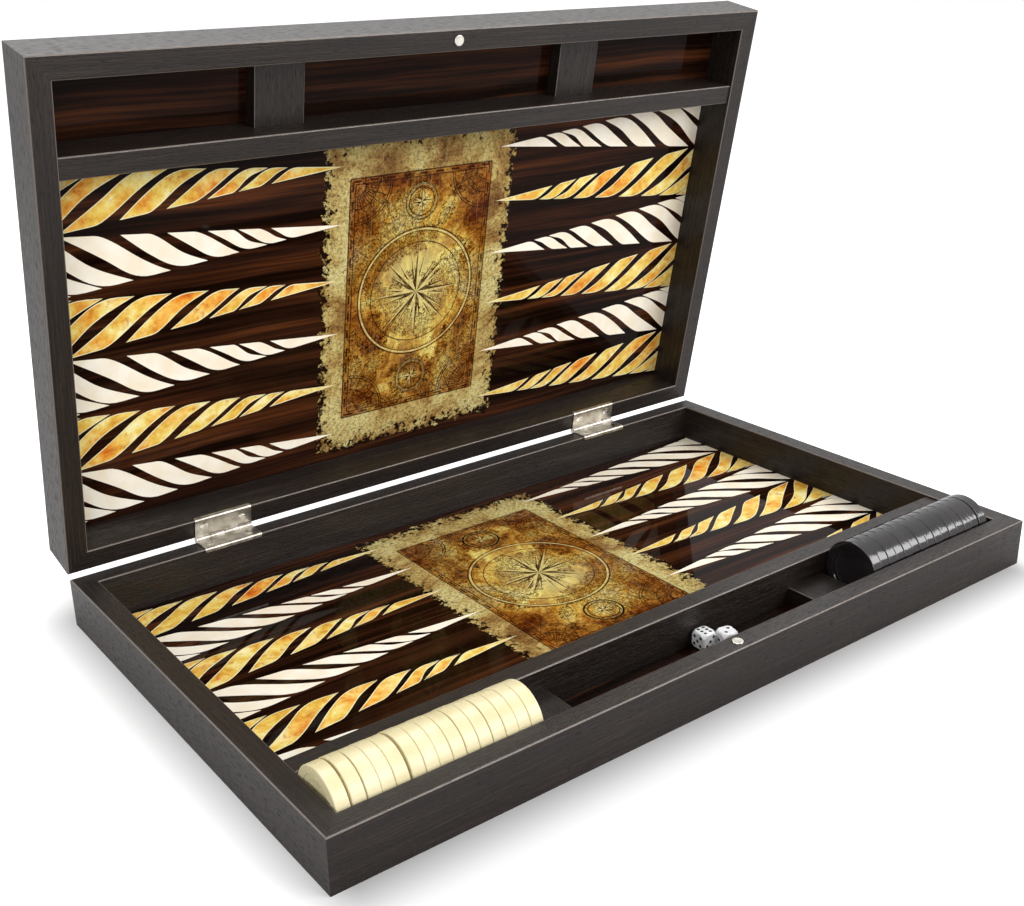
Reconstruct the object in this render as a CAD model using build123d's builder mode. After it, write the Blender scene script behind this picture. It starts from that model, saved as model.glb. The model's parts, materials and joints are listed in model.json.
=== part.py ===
# Folding backgammon board: two alike tray halves on a pair of stamped hinges, with a channel
# for the checkers, thirty checkers and two dice. Millimetres, +X along the hinges, +Z up.
# The origin is the middle of the base's underside, and the hinges are on the +Y side.
import os
from math import cos, radians, sin

from build123d import *

os.makedirs("parts", exist_ok=True)

# Case, one half
case_length = 500.0
case_depth = 300.0
half_height = 30.0
rail_thickness = 12.8
rail_lip = 6.0  # wood outside the panel's rebate
arris_radius = 1.0
panel_thickness = 4.3
panel_bevel = 0.5

# How the halves meet
closed_gap = 2.0  # between the rails' faces when shut
opening_angle = 78.87  # from shut, as photographed
axis_offset = 0.9  # hinge axis behind the back rail's outer face

# Checkers and their channel
checker_diameter = 36.4
checker_thickness = 7.2
checker_count = 15
checker_edge = 0.5
rim_width = 4.2
rim_slope = 0.5
step_width = 2.6
step_depth = 0.45
dish_bead = 0.6
dish_bead_depth = 0.2
dish_depth = 1.1
channel_play = 1.7  # channel's width beyond a checker
well_play = 7.0  # side well's length beyond its checkers
seat_gap = 0.3
checker_gap = 0.13
ivory_gaps = {1: 1.2, 2: 0.5, 5: 1.5, 9: 0.5, 11: 0.5}  # after the n-th from the left
black_gaps = {11: 0.3, 14: 0.9}
# how far each checker has rolled from the front rail, as the row's uneven outline shows
checker_rolls = (0.0, 0.35, 0.1, 0.25, 0.0, 0.5, 0.2, 0.4, 0.1, 0.45, 0.15, 0.3, 0.0, 0.35, 0.2)

# Divider rail and cross blocks
divider_thickness = 12.4
divider_drop = 1.5  # below the rails' faces
block_length = 31.0
block_height = 9.7
block_arris = 0.6

# Points
points_a_side = 6
point_length = 178.5
point_gap = 0.4
field_margin = 1.6
inlay_thickness = 0.2
# where each stripe crosses the point's middle line, as shares of its length from the rail
stripe_edges = (
    (0.673, 0.733),
    (0.585, 0.653),
    (0.455, 0.540),
    (0.316, 0.405),
    (0.153, 0.266),
    (0.025, 0.098),
    (-0.140, -0.050),
)
tip_stripe = 0.774
tip_heel = 0.83
# how far a stripe runs along the point for each millimetre across it
sharp_lean = 1.3
stripe_lean = 1.25
tail_lean = 2.0

# Magnets
magnet_radius = 3.25
magnet_depth = 3.0
magnet_proud = 0.8
bore_clearance = 0.05

# Hinges
hinge_spacing = 303.0
hinge_width = 38.0
leaf_thickness = 0.8
leaf_corner = 1.2
leaf_lip = 2.2
knuckle_radius = 2.2
knuckle_count = 4
knuckle_end_gap = 0.3
knuckle_clearance = 0.3
pin_radius = 1.2
pin_clearance = 0.05
pin_recess = 0.2
screw_spacing = 26.2
screw_setback = 8.0  # from the back rail's outer face
screw_head_radius = 2.8
screw_dome = 0.12
screw_cone = 1.5
screw_radius = 1.4
screw_length = 10.0
cross_width = 0.6
cross_length = 3.4
cross_depth = 0.7

# Dice
die_size = 10.2
die_edge = 1.3
die_corner_radius = 7.1
pip_radius = 1.15
pip_rise = 0.55  # pip's centre above the face
pip_pitch = 2.8
die_gap = 0.4
first_die_x = 14.8
first_die_from_divider = 1.1
second_die_step = 7.6  # towards the front
second_die_turn = -13.0

# Derived places, in the frame of one half: its outer face is z = 0 and its hinges are at +y
inner_x = case_length / 2 - rail_thickness
inner_y = case_depth / 2 - rail_thickness
axis_y = case_depth / 2 + axis_offset
axis_z = half_height + closed_gap / 2
checker_radius = checker_diameter / 2
channel_width = checker_diameter + channel_play
channel_y = -inner_y + channel_width / 2
divider_front = -inner_y + channel_width
divider_back = divider_front + divider_thickness
well_length = checker_count * checker_thickness + well_play
block_x = inner_x - well_length - block_length / 2
point_pitch = (inner_y - divider_back - 2 * field_margin) / points_a_side
point_half_width = (point_pitch - point_gap) / 2
leaf_top = half_height + leaf_thickness
knuckle_length = hinge_width / knuckle_count

base_frame = Plane.XY
shut_lid = Location((0, 0, 2 * half_height + closed_gap), (0, 180, 0))
hinge_turn = Pos(0, axis_y, axis_z) * Rot(-opening_angle, 0, 0) * Pos(0, -axis_y, -axis_z)
lid_frame = Plane(hinge_turn * shut_lid)


def plane_at(frame, x, y, z):
    """A plane parallel to the half's own, moved within it."""
    return Plane(frame.location * Location((x, y, z)))


def section_at(frame, x):
    """A plane across the rails: sketch x is the half's y, sketch y its z."""
    place = plane_at(frame, x, 0, 0)
    return Plane(origin=place.origin, x_dir=frame.y_dir, z_dir=frame.x_dir)


def finish(part, name):
    part.label = name
    export_step(part, f"parts/{name}.step")


# Screws and the pockets that they fill
def screw_shape(frame, x, y, clearance=0.0):
    """A countersunk wood screw, or its pocket where there is a clearance."""
    top = plane_at(frame, x, y, leaf_top)
    head = screw_head_radius + clearance
    shank = screw_radius + clearance
    point = screw_length + clearance
    with BuildPart() as screw:
        with BuildSketch(Plane(origin=top.origin, x_dir=frame.x_dir, z_dir=-frame.y_dir)):
            with BuildLine():
                Line((0, -point), (0, screw_dome))
                Spline((0, screw_dome), (head, 0), tangents=((1, 0), (1, -0.1)))
                Line((head, 0), (shank, -screw_cone))
                Line((shank, -screw_cone), (shank, screw_radius - point))
                Line((shank, screw_radius - point), (0, -point))
            make_face()
        revolve(axis=Axis(top.origin, frame.z_dir))
    return screw.part


def screw_places(hinge_x):
    y = case_depth / 2 - screw_setback
    return [(hinge_x - screw_spacing / 2, y), (hinge_x + screw_spacing / 2, y)]


# Case pieces
def rail_outline(side):
    """Mitred plan of one rail, seen onto the half's open face."""
    out_x, out_y = case_length / 2, case_depth / 2
    corners = {
        "front": [(-out_x, -out_y), (out_x, -out_y), (inner_x, -inner_y), (-inner_x, -inner_y)],
        "back": [(-inner_x, inner_y), (inner_x, inner_y), (out_x, out_y), (-out_x, out_y)],
        "left": [(-out_x, -out_y), (-inner_x, -inner_y), (-inner_x, inner_y), (-out_x, out_y)],
        "right": [(inner_x, -inner_y), (out_x, -out_y), (out_x, out_y), (inner_x, inner_y)],
    }
    return corners[side]


def make_rail(frame, side, name):
    along = frame.x_dir if side in ("front", "back") else frame.y_dir
    with BuildPart() as rail:
        with BuildSketch(frame):
            with BuildLine():
                Polyline(*rail_outline(side), close=True)
            make_face()
        extrude(amount=half_height)
        with BuildSketch(frame):
            Rectangle(case_length - 2 * rail_lip, case_depth - 2 * rail_lip)
        extrude(amount=panel_thickness, mode=Mode.SUBTRACT)
        face = rail.faces().sort_by(Axis(frame.origin, frame.z_dir))[-1]
        fillet(face.edges().filter_by(Axis(frame.origin, along)), arris_radius)
        if side == "front":
            with BuildSketch(plane_at(frame, 0, 0, half_height - magnet_depth)):
                with Locations((0, rail_thickness / 2 - case_depth / 2)):
                    Circle(magnet_radius + bore_clearance)
            extrude(amount=magnet_depth, mode=Mode.SUBTRACT)
        if side == "back":
            for hinge_x in (-hinge_spacing / 2, hinge_spacing / 2):
                with BuildSketch(section_at(frame, hinge_x)):
                    with Locations((axis_y, axis_z)):
                        Circle(knuckle_radius + knuckle_clearance)
                reach = hinge_width / 2 + knuckle_clearance
                extrude(amount=reach, both=True, mode=Mode.SUBTRACT)
                for x, y in screw_places(hinge_x):
                    add(screw_shape(frame, x, y, bore_clearance), mode=Mode.SUBTRACT)
    finish(rail.part, name)


def make_panel(frame, name):
    with BuildPart() as panel:
        with BuildSketch(frame):
            Rectangle(case_length - 2 * rail_lip, case_depth - 2 * rail_lip)
        extrude(amount=panel_thickness)
        under = panel.faces().sort_by(Axis(frame.origin, frame.z_dir))[0]
        chamfer(under.edges(), panel_bevel)
    finish(panel.part, name)


def make_divider(frame, name):
    with BuildPart() as divider:
        with BuildSketch(plane_at(frame, 0, 0, panel_thickness)):
            with Locations((0, (divider_front + divider_back) / 2)):
                Rectangle(2 * inner_x, divider_thickness)
        extrude(amount=half_height - divider_drop - panel_thickness)
        top = divider.faces().sort_by(Axis(frame.origin, frame.z_dir))[-1]
        fillet(top.edges().filter_by(Axis(frame.origin, frame.x_dir)), arris_radius)
    finish(divider.part, name)


def make_block(frame, x, name):
    with BuildPart() as block:
        with BuildSketch(plane_at(frame, x, channel_y, panel_thickness)):
            Rectangle(block_length, channel_width)
        extrude(amount=block_height)
        top = block.faces().sort_by(Axis(frame.origin, frame.z_dir))[-1]
        fillet(top.edges().filter_by(Axis(frame.origin, frame.y_dir)), block_arris)
    finish(block.part, name)


def make_magnet(frame, name):
    with BuildPart() as magnet:
        with BuildSketch(plane_at(frame, 0, 0, half_height - magnet_depth)):
            with Locations((0, rail_thickness / 2 - case_depth / 2)):
                Circle(magnet_radius)
        extrude(amount=magnet_depth + magnet_proud)
        top = magnet.faces().sort_by(Axis(frame.origin, frame.z_dir))[-1]
        fillet(top.edges(), magnet_proud / 2)
    finish(magnet.part, name)


# Points: slanted stripes that fill a long triangle, drawn from the rail (x = 0) to the tip
def outline_point(middle, lean, side):
    """Where a line leaning through the middle line meets the triangle's edge."""
    x = (middle + lean * point_half_width) / (1 + lean * point_half_width / point_length)
    return (x, side * point_half_width * (1 - x / point_length))


def tip_outline(slant):
    """The tip stripe runs out to the triangle's tip."""
    middle = tip_stripe * point_length
    tip = (point_length, 0)
    heel = outline_point(tip_heel * point_length, 0, -slant)
    bend = outline_point(middle, stripe_lean, -slant)
    sharp = outline_point(middle, -sharp_lean, slant)
    with BuildLine() as outline:
        Line(sharp, tip)
        Line(tip, heel)
        Bezier(heel, bend, bend, sharp)
    return outline.edges()


def stripe_outline(edges, slant):
    """A slanted band with two sharp corners and two round ones."""
    near, far = (share * point_length for share in edges)
    sharp = outline_point(near, -sharp_lean, slant)
    far_bend = outline_point(far, -stripe_lean, slant)
    tail = outline_point(far, tail_lean, -slant)
    near_bend = outline_point(near, stripe_lean, -slant)
    with BuildLine() as outline:
        Bezier(sharp, far_bend, far_bend, tail)
        Bezier(tail, near_bend, near_bend, sharp)
    return outline.edges()


def make_points(frame, name):
    """Twelve points; the two kinds, which slant opposite ways, take turns."""
    with BuildPart() as points:
        for number in range(points_a_side):
            y = inner_y - field_margin - (number + 0.5) * point_pitch
            for end in (-1, 1):
                place = plane_at(frame, end * inner_x, y, panel_thickness)
                slant = end * (-1) ** number
                with BuildSketch(Plane(place.origin, x_dir=-end * frame.x_dir, z_dir=frame.z_dir)):
                    make_face(tip_outline(slant))
                    for edges in stripe_edges:
                        make_face(stripe_outline(edges, slant))
                    with Locations((point_length / 2, 0)):
                        Rectangle(point_length, point_pitch, mode=Mode.INTERSECT)
                extrude(amount=inlay_thickness)
    finish(points.part, name)


# Hinges
def make_leaf(frame, hinge_x, name):
    """A stamped leaf with its two knuckles; the other half's leaf is the same piece turned."""
    section = section_at(frame, hinge_x)
    flat_end = axis_y - pin_radius - pin_clearance
    bend = arris_radius
    with BuildPart() as leaf:
        with BuildSketch(section):
            with BuildLine():
                Line((flat_end, half_height), (inner_y + bend, half_height))
                CenterArc((inner_y + bend, half_height - bend), bend, 90, 90)
                Line((inner_y, half_height - bend), (inner_y, half_height - leaf_lip))
                Line(
                    (inner_y, half_height - leaf_lip),
                    (inner_y - leaf_thickness, half_height - leaf_lip),
                )
                Line(
                    (inner_y - leaf_thickness, half_height - leaf_lip),
                    (inner_y - leaf_thickness, half_height - bend),
                )
                CenterArc(
                    (inner_y + bend, half_height - bend), bend + leaf_thickness, 90, 90
                )
                Line((inner_y + bend, leaf_top), (flat_end, leaf_top))
                Line((flat_end, leaf_top), (flat_end, half_height))
            make_face()
        extrude(amount=hinge_width / 2, both=True)
        lip_ends = leaf.edges().filter_by(Axis(frame.origin, frame.y_dir))
        fillet(lip_ends.group_by(Axis(frame.origin, frame.z_dir))[0], leaf_corner)
        with BuildSketch(section):
            with Locations((axis_y, axis_z)):
                Circle(knuckle_radius + knuckle_clearance)
        extrude(amount=hinge_width / 2, both=True, mode=Mode.SUBTRACT)
        for index in range(1, knuckle_count, 2):
            start = hinge_x - hinge_width / 2 + index * knuckle_length + knuckle_end_gap / 2
            with BuildSketch(section_at(frame, start)):
                with Locations((axis_y, axis_z)):
                    Circle(knuckle_radius)
                web = 2 * (knuckle_radius + knuckle_clearance)
                with Locations((axis_y - web / 2, half_height + leaf_thickness / 2)):
                    Rectangle(web, leaf_thickness)
            extrude(amount=knuckle_length - knuckle_end_gap)
        with BuildSketch(section):
            with Locations((axis_y, axis_z)):
                Circle(pin_radius + pin_clearance)
        extrude(amount=hinge_width / 2, both=True, mode=Mode.SUBTRACT)
        for x, y in screw_places(hinge_x):
            add(screw_shape(frame, x, y, bore_clearance), mode=Mode.SUBTRACT)
    finish(leaf.part, name)


def make_pin(hinge_x, name):
    with BuildPart() as pin:
        with BuildSketch(section_at(base_frame, hinge_x)):
            with Locations((axis_y, axis_z)):
                Circle(pin_radius)
        extrude(amount=hinge_width / 2 - pin_recess, both=True)
    finish(pin.part, name)


def make_screws(frame, name):
    with BuildPart() as screws:
        for hinge_x in (-hinge_spacing / 2, hinge_spacing / 2):
            for x, y in screw_places(hinge_x):
                add(screw_shape(frame, x, y))
                top = plane_at(frame, x, y, leaf_top + screw_dome)
                with BuildSketch(top):
                    Rectangle(cross_length, cross_width)
                    Rectangle(cross_width, cross_length)
                extrude(amount=-cross_depth, mode=Mode.SUBTRACT)
    finish(screws.part, name)


# Checkers, standing on edge
def make_checker(x, roll, name):
    """Turned section: a rim, a step and a dished middle, alike on both faces."""
    y = -inner_y + seat_gap + checker_radius + roll
    centre = (x, y, panel_thickness + seat_gap + checker_radius)
    section = Plane(origin=centre, x_dir=(1, 0, 0), z_dir=(0, -1, 0))
    half = checker_thickness / 2
    rim = checker_radius - rim_width
    dish = rim - step_width
    step = half - step_depth
    bead = (step - dish_bead_depth, dish - dish_bead)
    with BuildPart() as checker:
        with BuildSketch(section):
            with BuildLine():
                Line((0, 0), (half - dish_depth, 0))
                Spline((half - dish_depth, 0), bead, tangents=((0, 1), (0.12, 1)))
                Line(bead, (step, dish))
                Line((step, dish), (step, rim - rim_slope))
                Line((step, rim - rim_slope), (half, rim))
                Line((half, rim), (half, checker_radius - checker_edge))
                CenterArc((half - checker_edge, checker_radius - checker_edge), checker_edge, 0, 90)
                Line((half - checker_edge, checker_radius), (0, checker_radius))
                Line((0, checker_radius), (0, 0))
            make_face()
            mirror(about=Plane.YZ)
        revolve(axis=Axis(centre, (1, 0, 0)))
    finish(checker.part, name)


def make_checkers(first_x, gaps, colour):
    x = first_x
    for number, roll in enumerate(checker_rolls, start=1):
        make_checker(x + checker_thickness / 2, roll, f"{colour}_checker_{number:02d}")
        x += checker_thickness + gaps.get(number, checker_gap)


# Dice
pip_places = {
    1: [(0, 0)],
    2: [(-0.6, -0.6), (0.6, 0.6)],
    3: [(-0.85, -0.85), (0, 0), (0.85, 0.85)],
    4: [(-0.85, -0.85), (-0.85, 0.85), (0.85, -0.85), (0.85, 0.85)],
    5: [(-0.85, -0.85), (-0.85, 0.85), (0, 0), (0.85, -0.85), (0.85, 0.85)],
    6: [(-0.7, -1), (-0.7, 0), (-0.7, 1), (0.7, -1), (0.7, 0), (0.7, 1)],
}
side_turns = {
    "top": (0, 0, 0),
    "bottom": (180, 0, 0),
    "left": (0, -90, 0),
    "right": (0, 90, 0),
    "front": (90, 0, 0),
    "back": (-90, 0, 0),
}


def make_die(x, y, turn, numbers, name):
    z = panel_thickness + seat_gap + die_size / 2
    with BuildPart(Plane(Location((x, y, z), (0, 0, turn)))) as die:
        Box(die_size, die_size, die_size)
        fillet(die.edges(), die_edge)
        Sphere(die_corner_radius, mode=Mode.INTERSECT)
        for side, number in numbers.items():
            with Locations(Location((0, 0, 0), side_turns[side])):
                with Locations(Location((0, 0, die_size / 2 + pip_rise))):
                    with Locations(*[(pip_pitch * u, pip_pitch * v) for u, v in pip_places[number]]):
                        Sphere(pip_radius, mode=Mode.SUBTRACT)
    finish(die.part, name)


def make_dice():
    """The second die's side almost touches the first one's near corner."""
    turn = radians(second_die_turn)
    reach = die_size / 2 + die_gap - (die_size / 2 - second_die_step) * sin(turn)
    second_x = first_die_x + die_size / 2 + reach / cos(turn)
    first_y = divider_front - first_die_from_divider - die_size / 2
    first = {"top": 6, "bottom": 1, "left": 5, "right": 2, "front": 3, "back": 4}
    second = {"top": 2, "bottom": 5, "left": 1, "right": 6, "front": 4, "back": 3}
    make_die(first_die_x, first_y, 0, first, "left_die")
    make_die(second_x, first_y - second_die_step, second_die_turn, second, "right_die")


for frame, half in ((base_frame, "base"), (lid_frame, "lid")):
    for side in ("front", "back", "left", "right"):
        make_rail(frame, side, f"{half}_{side}_rail")
    make_panel(frame, f"{half}_panel")
    make_divider(frame, f"{half}_divider")
    make_magnet(frame, f"{half}_magnet")
    make_points(frame, f"{half}_points")
    make_screws(frame, f"{half}_hinge_screws")
    # the lid is turned over, so its own left is the base's right
    turned = 1 if half == "base" else -1
    for name, x_side in (("left", -1), ("right", 1)):
        make_block(frame, turned * x_side * block_x, f"{half}_{name}_block")
        make_leaf(frame, turned * x_side * hinge_spacing / 2, f"{name}_hinge_{half}_leaf")

make_pin(-hinge_spacing / 2, "left_hinge_pin")
make_pin(hinge_spacing / 2, "right_hinge_pin")
make_checkers(-inner_x + seat_gap, ivory_gaps, "ivory")
make_checkers(inner_x - well_length + seat_gap, black_gaps, "black")
make_dice()
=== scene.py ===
import json
import math

import bmesh
import bpy
from mathutils import Matrix, Vector, noise


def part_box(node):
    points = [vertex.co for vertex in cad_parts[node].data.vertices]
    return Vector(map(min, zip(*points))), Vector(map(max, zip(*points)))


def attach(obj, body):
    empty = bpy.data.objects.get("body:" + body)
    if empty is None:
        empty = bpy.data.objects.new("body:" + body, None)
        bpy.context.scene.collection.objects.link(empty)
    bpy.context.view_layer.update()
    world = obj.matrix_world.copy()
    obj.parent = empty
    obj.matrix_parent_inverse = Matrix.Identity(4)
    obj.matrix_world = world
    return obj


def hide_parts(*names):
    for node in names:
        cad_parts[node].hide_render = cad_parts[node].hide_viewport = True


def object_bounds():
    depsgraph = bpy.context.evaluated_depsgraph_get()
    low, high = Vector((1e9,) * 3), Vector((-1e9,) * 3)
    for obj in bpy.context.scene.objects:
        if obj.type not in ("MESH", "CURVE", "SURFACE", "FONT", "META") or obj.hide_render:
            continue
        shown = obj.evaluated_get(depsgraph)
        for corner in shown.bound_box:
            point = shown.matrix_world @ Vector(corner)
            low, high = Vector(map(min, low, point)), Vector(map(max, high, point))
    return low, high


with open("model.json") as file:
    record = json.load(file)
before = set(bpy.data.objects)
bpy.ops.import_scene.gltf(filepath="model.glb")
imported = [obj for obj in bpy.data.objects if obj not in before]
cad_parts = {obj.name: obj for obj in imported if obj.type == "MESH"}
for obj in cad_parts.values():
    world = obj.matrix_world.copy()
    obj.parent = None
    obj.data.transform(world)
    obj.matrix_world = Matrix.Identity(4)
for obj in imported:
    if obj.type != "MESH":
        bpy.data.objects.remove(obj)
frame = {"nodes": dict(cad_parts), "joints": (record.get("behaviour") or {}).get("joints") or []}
nodes = frame["nodes"]
cadBox = [list(corner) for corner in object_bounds()]
mm = 0.001

# The lid is the base turned over and swung up about the hinge, so one drawing serves both halves
hinge = frame["joints"][0]
hingePlace = Vector(hinge["pos_m"])
openTurn = math.radians(-hinge["range_deg"][0])
shutLid = Matrix.Translation((0, 0, 2 * hingePlace.z)) @ Matrix.Rotation(math.pi, 4, "Y")
swing = Matrix.Translation(hingePlace) @ Matrix.Rotation(-openTurn, 4, "X") @ Matrix.Translation(-hingePlace)
halfPlaces = {"base": Matrix.Identity(4), "lid": swing @ shutLid}


def linearColour(hexText, alpha=1.0):  # sRGB hex to the linear colour that shaders take
    channels = [int(hexText[i : i + 2], 16) / 255 for i in (0, 2, 4)]
    return [c / 12.92 if c <= 0.04045 else ((c + 0.055) / 1.055) ** 2.4 for c in channels] + [alpha]


def addNode(tree, kind, settings=None, links=None):
    node = tree.nodes.new("ShaderNode" + kind)
    for key, value in (settings or {}).items():
        if key == "ramp":  # stops as (place, hex colour)
            stops = node.color_ramp.elements
            while len(stops) < len(value):
                stops.new(1.0)
            for stop, (place, colour) in zip(stops, value):
                stop.position = place
                stop.color = linearColour(colour)
        elif isinstance(key, str) and hasattr(node, key):
            setattr(node, key, value)
        else:
            node.inputs[key].default_value = value
    for key, source in (links or {}).items():
        tree.links.new(source, node.inputs[key])
    return node


def newMaterial(name):
    material = bpy.data.materials.new(name)
    material.use_nodes = True
    material.node_tree.nodes.clear()
    return material, material.node_tree


def paint(name, material):
    nodes[name].data.materials.clear()
    nodes[name].data.materials.append(material)


def newPiece(name, shape, body, *materials, smooth=False):
    mesh = bpy.data.meshes.new(name)
    shape.to_mesh(mesh)
    shape.free()
    piece = bpy.data.objects.new(name, mesh)
    bpy.context.scene.collection.objects.link(piece)
    if smooth:
        mesh.shade_smooth()
    for material in materials:
        mesh.materials.append(material)
    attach(piece, body)
    return piece


def addShape(whole, part):  # moves a finished bmesh into another, and frees it
    carrier = bpy.data.meshes.new("carrier")
    part.to_mesh(carrier)
    part.free()
    whole.from_mesh(carrier)
    bpy.data.meshes.remove(carrier)


def ownCoordinates(tree, half):  # object coordinates brought into the half's own frame
    inverse = halfPlaces[half].inverted()
    return addNode(
        tree,
        "Mapping",
        {"Location": inverse.to_translation(), "Rotation": inverse.to_euler()},
        {"Vector": addNode(tree, "TexCoord").outputs["Object"]},
    )


# Wenge-look melamine foil, printed and embossed: near black, with fine pale fibres and short dark pores
# along the rail, a satin sheen at low angles, and a shinier line where it is drawn over an arris, which also
# gets a painted highlight, a paler colour
foil = {
    "print": [(0.3, "120d0b"), (0.52, "201814"), (0.75, "362c26")],
    "fibre": 0.9,  # mm across a printed fibre, a little coarser than the real one so that it shows
    "fibreLength": 45.0,
    "pore": 0.5,  # mm, a little coarser than the real 0.3 mm so that the dashes show
    "poreLength": 6.5,
    "poreDepth": 0.85,
    "roughness": 0.36,
    "poreRoughness": 0.61,
    "relief": 0.1,  # mm, deeper than the real emboss so that the grain shows
    "gloss": 0.34,
    "arris": "6c625b",  # painted highlight: a paler colour on every arris, where the foil is drawn tight over an edge
    "arrisRoughness": 0.22,
}


def foilShader(tree, half, turn):
    own = ownCoordinates(tree, half)
    turned = addNode(tree, "Mapping", {"Rotation": (0, 0, turn)}, {"Vector": own.outputs[0]})
    fibres = addNode(
        tree,
        "Mapping",
        {"Scale": (1 / (foil["fibreLength"] * mm), 1 / (foil["fibre"] * mm), 1 / (foil["fibre"] * mm))},
        {"Vector": turned.outputs[0]},
    )
    fibreNoise = addNode(
        tree, "TexNoise", {"Scale": 1.0, "Detail": 4.0, "Roughness": 0.6}, {"Vector": fibres.outputs[0]}
    )
    pores = addNode(
        tree,
        "Mapping",
        {"Scale": (1 / (foil["poreLength"] * mm), 1 / (foil["pore"] * mm), 1 / (foil["pore"] * mm))},
        {"Vector": turned.outputs[0]},
    )
    poreNoise = addNode(
        tree, "TexNoise", {"Scale": 1.0, "Detail": 1.0, "Roughness": 0.5}, {"Vector": pores.outputs[0]}
    )
    poreMask = addNode(
        tree, "ValToRGB", {"ramp": [(0.36, "000000"), (0.45, "ffffff")]}, {"Fac": poreNoise.outputs["Fac"]}
    )
    colour = addNode(tree, "ValToRGB", {"ramp": foil["print"]}, {"Fac": fibreNoise.outputs["Fac"]})
    withPores = addNode(
        tree,
        "Mix",
        {"data_type": "RGBA", "blend_type": "MULTIPLY", 0: foil["poreDepth"]},
        {6: colour.outputs["Color"], 7: poreMask.outputs["Color"]},
    )
    rough = addNode(
        tree,
        "MapRange",
        {"To Min": foil["poreRoughness"], "To Max": foil["roughness"]},
        {"Value": poreMask.outputs["Color"]},
    )
    # an arris is where the surface faces between two of the half's own axes
    facing = addNode(
        tree,
        "Mapping",
        {"vector_type": "VECTOR", "Rotation": halfPlaces[half].inverted().to_euler()},
        {"Vector": addNode(tree, "TexCoord").outputs["Normal"]},
    )
    along = addNode(tree, "VectorMath", {"operation": "ABSOLUTE"}, {0: facing.outputs[0]})
    sides = addNode(tree, "SeparateXYZ", None, {0: along.outputs[0]})
    most = addNode(tree, "Math", {"operation": "MAXIMUM"}, {0: sides.outputs["X"], 1: sides.outputs["Y"]})
    most = addNode(tree, "Math", {"operation": "MAXIMUM"}, {0: most.outputs[0], 1: sides.outputs["Z"]})
    arris = addNode(tree, "MapRange", {"From Min": 0.985, "From Max": 0.9}, {"Value": most.outputs[0]})
    # painted highlight: every arris is mixed towards a paler colour, whichever way it faces the lamps
    paintedArrisHighlight = addNode(
        tree,
        "Mix",
        {"data_type": "RGBA", 7: linearColour(foil["arris"])},
        {0: arris.outputs[0], 6: withPores.outputs[2]},
    )
    rough = addNode(
        tree,
        "Mix",
        {"data_type": "FLOAT", 3: foil["arrisRoughness"]},
        {0: arris.outputs[0], 2: rough.outputs[0]},
    )
    height = addNode(
        tree, "Math", {"operation": "ADD"}, {0: fibreNoise.outputs["Fac"], 1: poreMask.outputs["Color"]}
    )
    bump = addNode(
        tree,
        "Bump",
        {"Strength": 0.7, "Distance": foil["relief"] * mm},
        {"Height": height.outputs[0]},
    )
    shader = addNode(
        tree,
        "BsdfPrincipled",
        {"IOR": 1.5, "Specular IOR Level": foil["gloss"]},
        {"Base Color": paintedArrisHighlight.outputs[2], "Roughness": rough.outputs[0], "Normal": bump.outputs[0]},
    )
    return own, shader


def wengeFoil(half, turn, name):
    material, tree = newMaterial(name)
    _, shader = foilShader(tree, half, turn)
    addNode(tree, "OutputMaterial", None, {"Surface": shader.outputs[0]})
    return material


# Ebony veneer inside, foil on the outside of the case: near black with soft red-brown bands and streaks
# that run the length of the board
veneer = {
    "ramp": [
        (0.36, "0b0402"),
        (0.44, "150904"),
        (0.5, "27130a"),
        (0.56, "3a1e0f"),
        (0.62, "532c15"),
        (0.68, "2a150b"),
    ],
    "band": 13.0,  # mm across
    "bandLength": 360.0,
    "streak": 2.8,
    "streakLength": 220.0,
    "streakShare": 0.28,
    "wander": 14.0,  # mm that the bands sway
    "outsideDepth": 1.0,  # mm from the panel's outer face that is foil
}

# Polyester lacquer over veneer, prints and charts, cast and polished: clear and hard, with a sharp
# thin reflection that doesn't grey the wood
lacquer = {"Roughness": 0.04, "IOR": 1.5, "Specular IOR Level": 0.05}


def ebonyPanel(half):
    material, tree = newMaterial("lacqueredEbony_" + half)
    own, outside = foilShader(tree, half, 0.0)
    wobble = addNode(tree, "TexNoise", {"Scale": 6.0, "Detail": 2.0}, {"Vector": own.outputs[0]})
    wander = addNode(
        tree,
        "VectorMath",
        {"operation": "SCALE", "Scale": veneer["wander"] * mm},
        {0: wobble.outputs["Color"]},
    )
    swayed = addNode(tree, "VectorMath", {"operation": "ADD"}, {0: own.outputs[0], 1: wander.outputs[0]})
    noises = []  # broad bands, then fine streaks
    for width, length, detail in (
        (veneer["band"], veneer["bandLength"], 4.0),
        (veneer["streak"], veneer["streakLength"], 3.0),
    ):
        stretched = addNode(
            tree,
            "Mapping",
            {"Scale": (1 / (length * mm), 1 / (width * mm), 1)},
            {"Vector": swayed.outputs[0]},
        )
        noises.append(
            addNode(
                tree,
                "TexNoise",
                {"Scale": 1.0, "Detail": detail, "Roughness": 0.6},
                {"Vector": stretched.outputs[0]},
            )
        )
    figure = addNode(
        tree,
        "Mix",
        {"data_type": "FLOAT", 0: veneer["streakShare"]},
        {2: noises[0].outputs["Fac"], 3: noises[1].outputs["Fac"]},
    )
    colour = addNode(tree, "ValToRGB", {"ramp": veneer["ramp"]}, {"Fac": figure.outputs[0]})
    lacquered = addNode(tree, "BsdfPrincipled", lacquer, {"Base Color": colour.outputs["Color"]})
    axes = addNode(tree, "SeparateXYZ", None, {0: own.outputs[0]})
    inner = addNode(
        tree, "Math", {"operation": "GREATER_THAN", 1: veneer["outsideDepth"] * mm}, {0: axes.outputs["Z"]}
    )
    both = addNode(
        tree, "MixShader", None, {0: inner.outputs[0], 1: outside.outputs[0], 2: lacquered.outputs[0]}
    )
    addNode(tree, "OutputMaterial", None, {"Surface": both.outputs[0]})
    return material


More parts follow.
